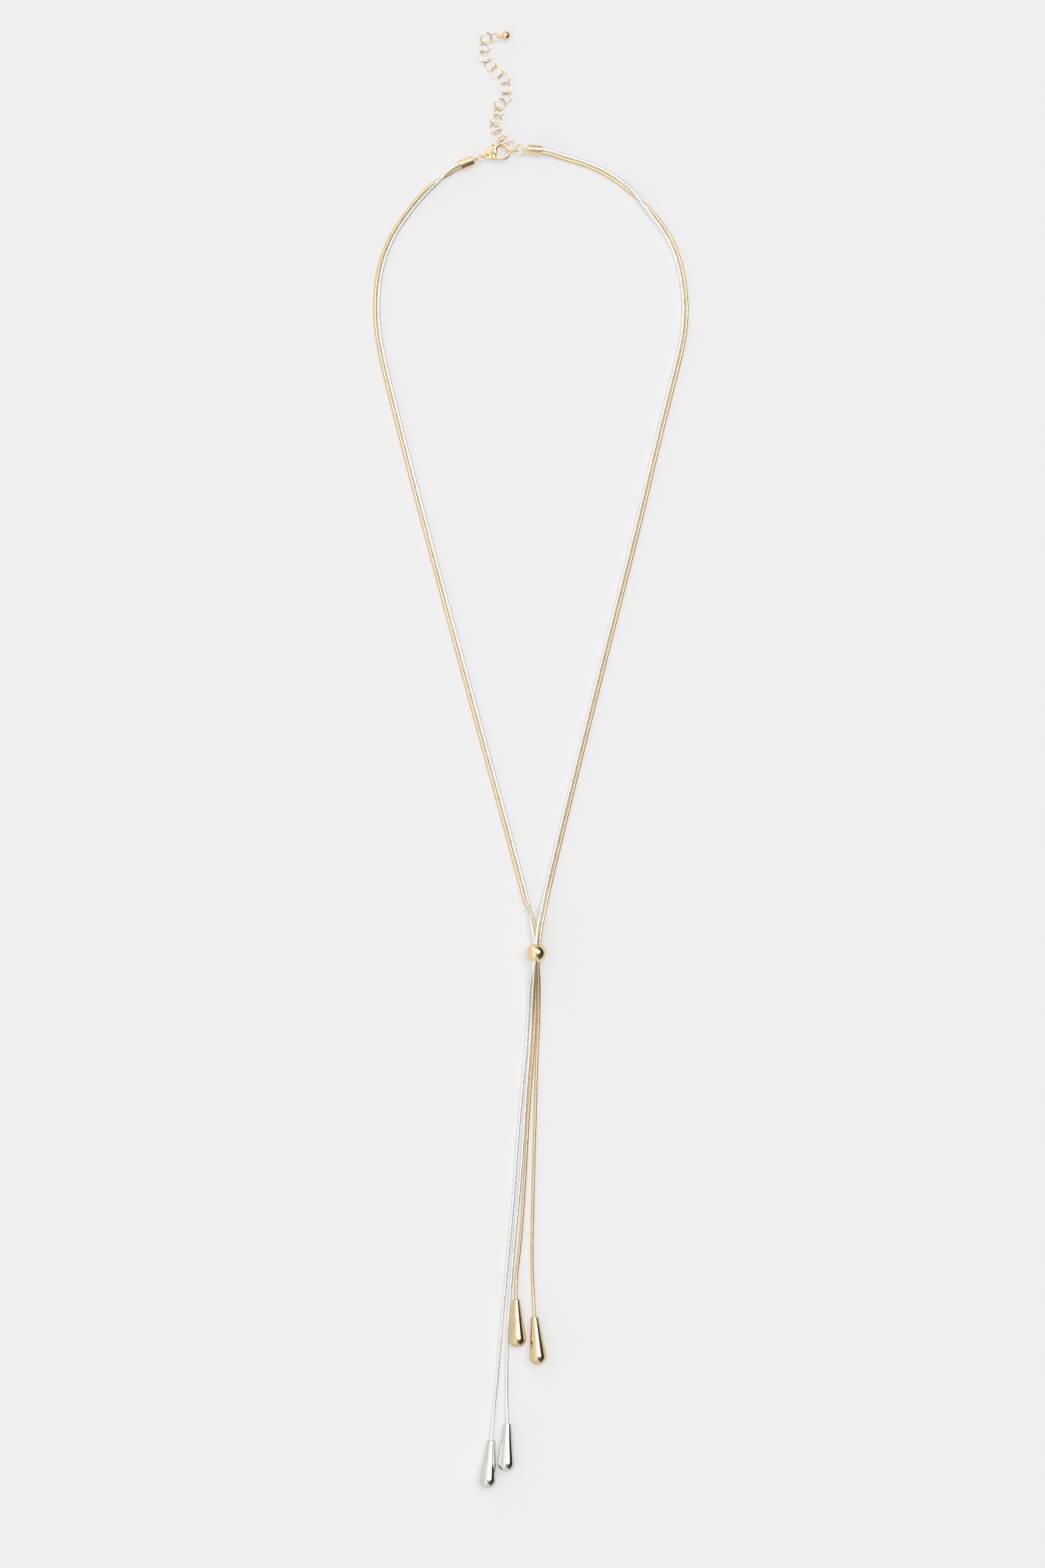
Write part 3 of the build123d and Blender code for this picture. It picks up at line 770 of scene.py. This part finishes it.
gold_polish = polished_metal("gold_polished", GOLD, GOLD_DEEP)
drop_finish = {
    "gold": polished_metal("gold_drop", GOLD_DROP, GOLD_DROP_DEEP),
    "silver": polished_metal("silver_polished", SILVER, SILVER_DEEP),
}
gold_plates = (GOLD_CHAIN, GOLD_CHAIN_DEEP, GOLD_GROOVE_SHADE, GOLD_CHAIN_ROUGHNESS)
silver_plates = (SILVER_CHAIN, SILVER_CHAIN_DEEP, SILVER_GROOVE_SHADE, SILVER_CHAIN_ROUGHNESS)
chain_finish = {
    "gold": snake_metal("gold_snake_chain", *gold_plates),
    "silver": snake_metal("silver_snake_chain", *silver_plates),
}


# The pieces

def finish_piece(piece, material, replaced, body="necklace"):
    piece.data.materials.clear()
    piece.data.materials.append(material)
    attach(piece, body)
    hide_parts(*replaced)


def make_drop(name, end):
    """Solid drop: hole for the chain, rounded shoulder, cone and ball."""
    neck, axis = drop_neck(end)
    tilt = drop_tilt()
    lean = degrees(tilt)
    ball_z = DROP_LENGTH - DROP_BALL_R
    shoulder_r = DROP_NECK_R - DROP_SHOULDER * (1 - sin(tilt)) / cos(tilt)
    hole_r = DROP_HOLE_D / 2
    profile = [(hole_r / 2, DROP_HOLE_DEPTH), (hole_r, DROP_HOLE_DEPTH), (hole_r, 0.0)]
    profile += arc((shoulder_r, DROP_SHOULDER), DROP_SHOULDER, -90.0, -lean)
    profile += arc((0.0, ball_z), DROP_BALL_R, -lean, TIP_ANGLE)
    return turned(name, profile, neck, axis)


def make_bead(name):
    """Hollow bead: the outside, the two rounded rims and the wall of the hole."""
    x, y = BEAD_CENTRE
    along = Vector((sin(radians(BEAD_LEAN)), cos(radians(BEAD_LEAN)), 0))
    rim_r = BEAD_HOLE_D / 2 + BEAD_RIM
    rim_z = sqrt((BEAD_D / 2 - BEAD_RIM) ** 2 - rim_r ** 2)
    rim_angle = degrees(atan2(rim_z, rim_r))
    profile = arc((rim_r, rim_z), BEAD_RIM, 180.0, rim_angle)
    profile += arc((0.0, 0.0), BEAD_D / 2, rim_angle, -rim_angle, 3 * ARC_STEPS)
    profile += arc((rim_r, -rim_z), BEAD_RIM, -rim_angle, -180.0)
    return turned(name, profile, (x, y, BEAD_D / 2), along, closed=True)


def make_cap(name, mouth):
    """Tube with a closed end, and a wire eye on it."""
    x, y, angle = mouth
    inward = Vector((-cos(radians(angle)), -sin(radians(angle)), 0))
    origin = Vector((x, y, CAP_Z))
    outer_r = CAP_D / 2
    bore_r = CAP_BORE_D / 2
    profile = [(bore_r / 2, CAP_BORE_DEPTH), (bore_r, CAP_BORE_DEPTH)]
    profile += arc((bore_r + CAP_LIP, CAP_LIP), CAP_LIP, 180.0, 270.0)
    profile += arc((outer_r - CAP_LIP, CAP_LIP), CAP_LIP, -90.0, 0.0)
    profile += arc((outer_r - CAP_EDGE, CAP_LENGTH - CAP_EDGE), CAP_EDGE, 0.0, 90.0)
    profile += [(outer_r / 2, CAP_LENGTH)]
    tube = turned(f"{name}_tube", profile, origin, inward)
    eye_centre = origin + inward * (CAP_LENGTH + CAP_EYE_R - CAP_EYE_WIRE / 2)
    eye = wire_ring(f"{name}_eye", eye_centre, (-inward.y, inward.x, 0), CAP_EYE_R, CAP_EYE_WIRE)
    return joined(name, [tube, eye])


def make_end_ball(name):
    x, y = END_BALL
    profile = arc((0.0, 0.0), END_BALL_D / 2, -TIP_ANGLE, TIP_ANGLE, 3 * ARC_STEPS)
    ball = turned(f"{name}_ball", profile, (x, y, END_BALL_D / 2), (0, 0, 1))
    eye = wire_ring(f"{name}_eye", END_EYE[:3], lean_normal(*END_EYE[3:]), END_EYE_R, WIRE_D)
    return joined(name, [ball, eye])


def crown(mesh):
    """Rounds the two flat faces of a cast part from edge to edge, above the slot for the lever."""
    origin = Vector(CLASP_ORIGIN) * MM
    middle = origin.z
    heading = Vector((cos(radians(CLASP_HEADING)), sin(radians(CLASP_HEADING)), 0))
    walls = []
    for vertex in mesh.vertices:
        height = abs(vertex.co.z - middle)
        in_slot = SLOT_REACH[0] * MM < (vertex.co - origin).dot(heading) < SLOT_REACH[1] * MM
        lowest = SLOT_TOP if in_slot else WALL_LOW
        if abs(vertex.normal.z) < WALL_SLOPE and height > lowest * MM:
            walls.append(vertex.co.xy)
    nearest = KDTree(len(walls))
    for i, place in enumerate(walls):
        nearest.insert((*place, 0), i)
    nearest.balance()
    for vertex in mesh.vertices:
        height = vertex.co.z - middle
        above = abs(height) - CROWN_LOW * MM
        if above > 0:
            place, index, distance = nearest.find((*vertex.co.xy, 0))
            inside = min(distance / (CROWN_WIDTH * MM), 1.0)
            risen = CROWN_LOW * MM + above * sqrt(1 - (1 - inside) ** 2)
            vertex.co.z = middle + (risen if height > 0 else -risen)


def make_cast(name, node_name):
    """Copy of a flat-sided node with its edges worn round, as on a cast and tumbled part."""
    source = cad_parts[node_name]
    mesh = source.data.copy()
    mesh.transform(source.matrix_world)
    piece = bpy.data.objects.new(name, mesh)
    bpy.context.scene.collection.objects.link(piece)
    remesh = piece.modifiers.new("remesh", "REMESH")
    remesh.mode = "VOXEL"
    remesh.voxel_size = CAST_VOXEL * MM
    smooth = piece.modifiers.new("smooth", "SMOOTH")
    smooth.factor = 0.5
    smooth.iterations = CAST_SMOOTHING
    depsgraph = bpy.context.evaluated_depsgraph_get()
    cast = bpy.data.meshes.new_from_object(piece.evaluated_get(depsgraph))
    piece.modifiers.clear()
    piece.data = cast
    cast.polygons.foreach_set("use_smooth", [True] * len(cast.polygons))
    crown(cast)
    return piece


CHAINS = {
    "silver_left": (1, LEFT_PAIR, LEFT_MOUTH, 1),
    "silver_right": (2, RIGHT_PAIR, RIGHT_MOUTH, -1),
    "gold_left": (3, LEFT_PAIR, LEFT_MOUTH, 1),
    "gold_right": (4, RIGHT_PAIR, RIGHT_MOUTH, -1),
}
for chain_name, (column, rows, mouth, outer_sign) in CHAINS.items():
    metal = chain_name.split("_")[0]
    points = chain_route(chain_name, column, rows, mouth, outer_sign)
    chain = snake_chain(f"snake_chain_{chain_name}", smooth_line(chain_name, points))
    parts = [f"upper_chain_{chain_name}", f"lower_chain_{chain_name}"]
    finish_piece(chain, chain_finish[metal], parts)
    drop = make_drop(f"turned_drop_{chain_name}", ENDS[chain_name])
    finish_piece(drop, drop_finish[metal], [f"drop_{chain_name}"])

gold_pieces = {
    "slider_bead": make_bead("turned_slider_bead"),
    "end_cap_left": make_cap("turned_cap_left", LEFT_MOUTH),
    "end_cap_right": make_cap("turned_cap_right", RIGHT_MOUTH),
    "end_ball": make_end_ball("turned_end_ball"),
    "clasp_body": make_cast("cast_clasp_body", "clasp_body"),
}
link_places = [END_RING[:2]] + LINKS + [CLASP_LINKS[0][:2]]
link_z = LINK_R * sin(radians(LINK_ROLL)) + WIRE_D / 2 + FLOOR_GAP
for i in range(1, len(LINKS) + 1):
    before = link_places[i - 1]
    x, y = link_places[i]
    after = link_places[i + 1]
    heading = degrees(atan2(after[1] - before[1], after[0] - before[0]))
    roll = LINK_ROLL if i % 2 == 0 else -LINK_ROLL
    normal = lean_normal(heading, roll)
    name = f"extension_link_{i:02d}"
    gold_pieces[name] = wire_ring(f"wire_{name}", (x, y, link_z), normal, LINK_R, WIRE_D)

placed_rings = {
    "extension_link_14": (CLASP_LINKS[0], LINK_R, None),
    "extension_link_15": (CLASP_LINKS[1], LINK_R, None),
    "extension_link_16": (CLASP_LINKS[2], LINK_R, None),
    "end_jump_ring": (END_RING, END_RING_R, 250.0),
    "jump_ring_left_1": (LEFT_RING_1, SMALL_RING_R, 100.0),
    "jump_ring_left_2": (LEFT_RING_2, SMALL_RING_R, 20.0),
    "jump_ring_right": (RIGHT_RING, RIGHT_RING_R, 300.0),
}
for name, ((x, y, z, heading, roll), mean_r, cut_angle) in placed_rings.items():
    normal = lean_normal(heading, roll)
    gold_pieces[name] = wire_ring(f"wire_{name}", (x, y, z), normal, mean_r, WIRE_D, cut_angle)

for node_name, piece in gold_pieces.items():
    finish_piece(piece, gold_polish, [node_name])
lever = make_cast("cast_clasp_lever", "clasp_lever")
finish_piece(lever, gold_polish, ["clasp_lever"], body="clasp_lever")
